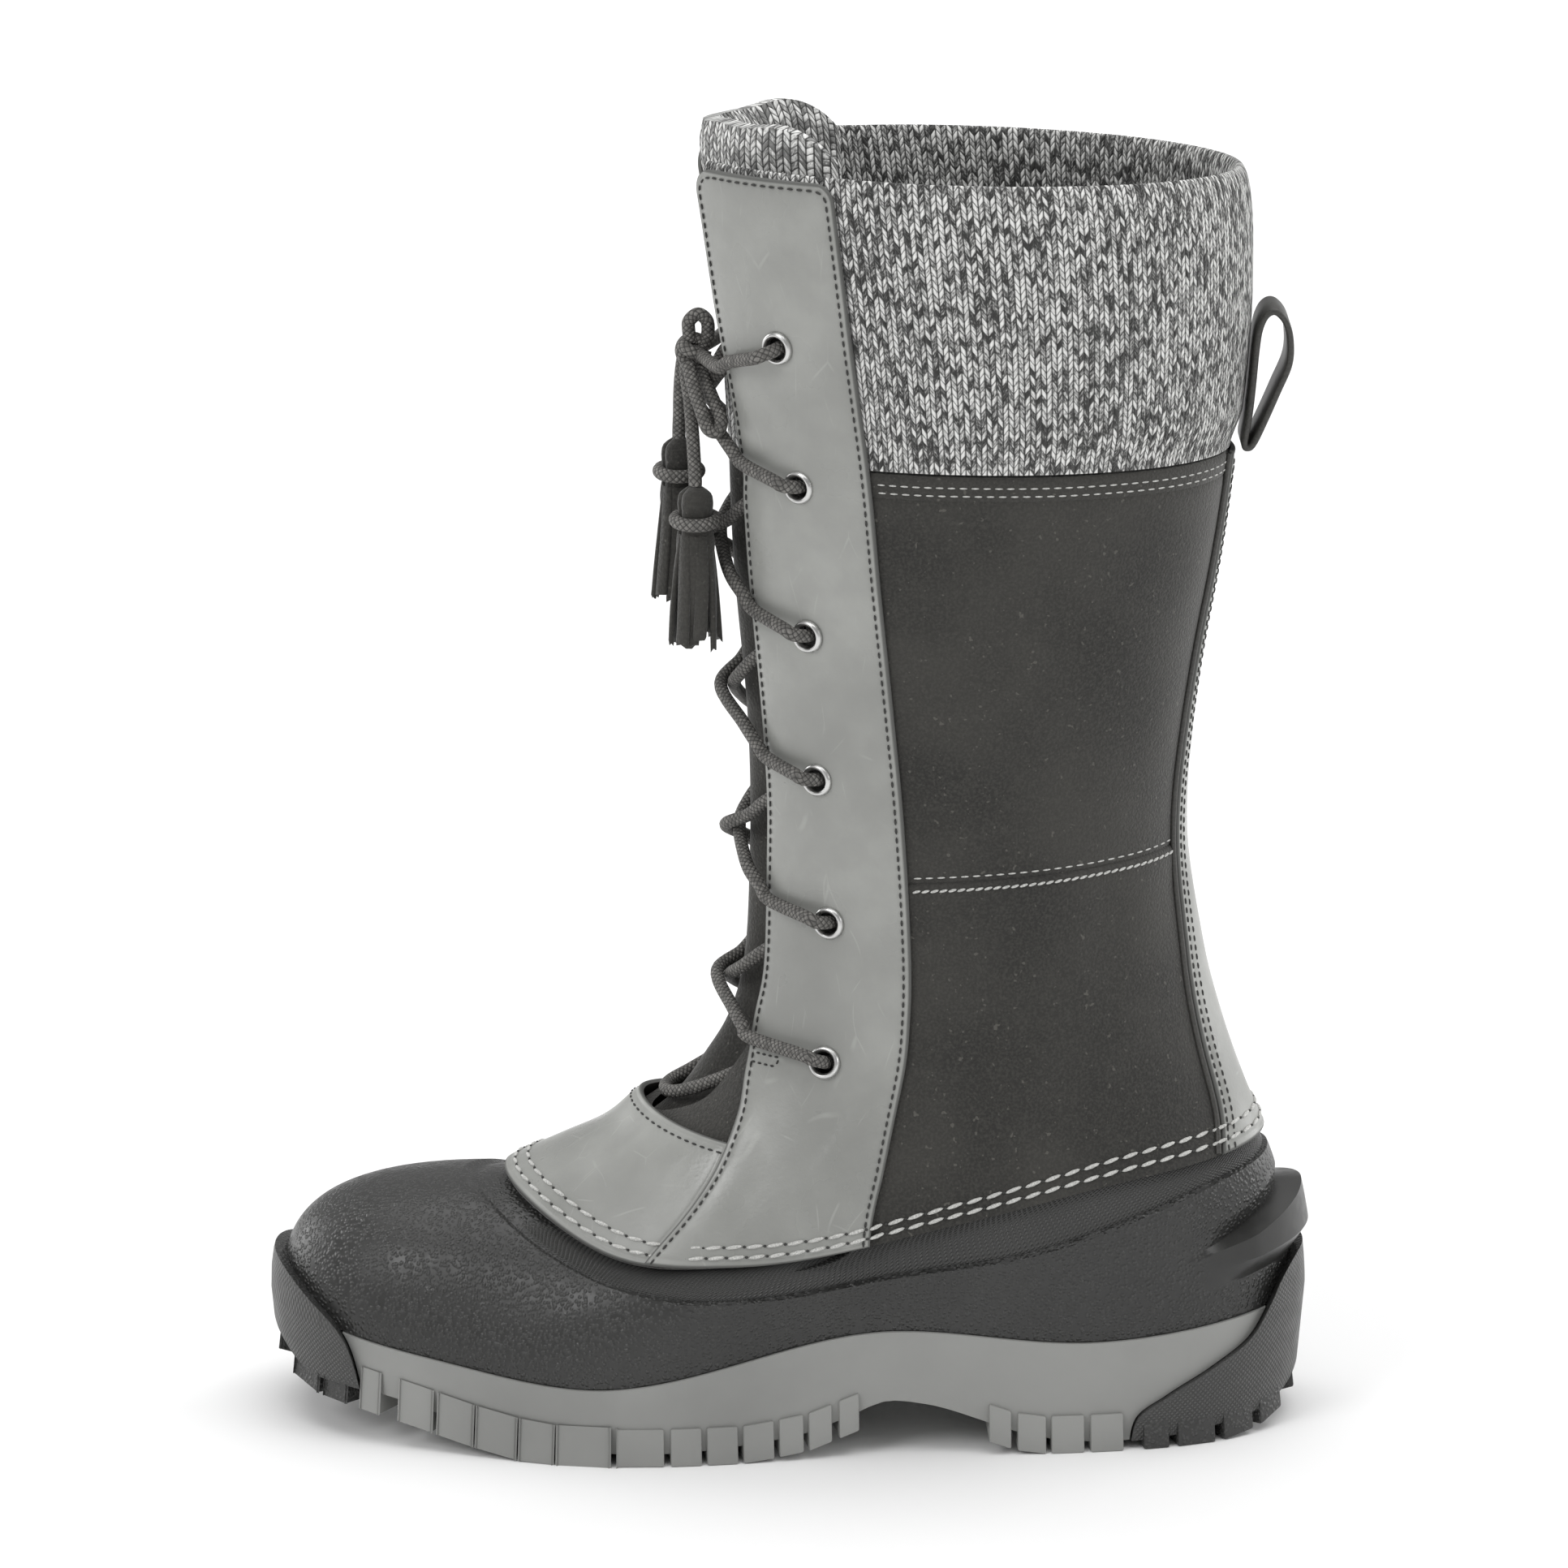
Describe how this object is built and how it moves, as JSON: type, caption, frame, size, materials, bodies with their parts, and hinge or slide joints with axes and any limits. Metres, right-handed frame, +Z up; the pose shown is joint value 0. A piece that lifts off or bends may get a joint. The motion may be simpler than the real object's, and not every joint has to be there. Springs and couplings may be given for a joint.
{
  "type": "laced winter boot",
  "caption": "Tall laced left winter boot: rubber galosh on a lugged sole, leather and suede shaft, knitted collar and tongue, tasselled laces",
  "frame": {"origin": "on the ground plane, under the middle of the boot's outline without its laces", "axes": "+Z up, -X towards the toe, -Y towards the outer side of this left boot"},
  "size_m": [0.3008, 0.1117, 0.3727],
  "materials": {
    "grey_rubber": "matte moulded",
    "dark_rubber": "matte, ribbed",
    "galosh_rubber": "satin, pebbled",
    "lining": "felt",
    "suede": "napped",
    "knit": "marled knit",
    "grey_leather": "oiled, scuffed",
    "bright_steel": "polished",
    "cord": "round braid",
    "strap_leather": "smooth"
  },
  "bodies": {
    "root": {"sole": "grey_rubber", "toe_bumper": "dark_rubber", "heel_bumper": "dark_rubber", "galosh": "galosh_rubber", "insole": "lining", "upper": "suede", "tongue": "suede", "cuff": "knit", "facing_lateral": "grey_leather", "facing_medial": "grey_leather", "vamp": "grey_leather", "backstay": "grey_leather", "eyelet_lateral_1": "bright_steel", "eyelet_lateral_2": "bright_steel", "eyelet_lateral_3": "bright_steel", "eyelet_lateral_4": "bright_steel", "eyelet_lateral_5": "bright_steel", "eyelet_lateral_6": "bright_steel", "eyelet_medial_1": "bright_steel", "eyelet_medial_2": "bright_steel", "eyelet_medial_3": "bright_steel", "eyelet_medial_4": "bright_steel", "eyelet_medial_5": "bright_steel", "eyelet_medial_6": "bright_steel", "lace_crossing_1": "cord", "lace_crossing_2": "cord", "lace_crossing_3": "cord", "lace_crossing_4": "cord", "lace_crossing_5": "cord", "lace_bar": "cord", "lace_knot": "cord", "lace_loop_top": "cord", "lace_loop_low": "cord", "lace_end_near": "cord", "lace_end_far": "cord", "tassel_near": "suede", "tassel_far": "suede", "pull_loop": "strap_leather"}
  },
  "joints": []
}
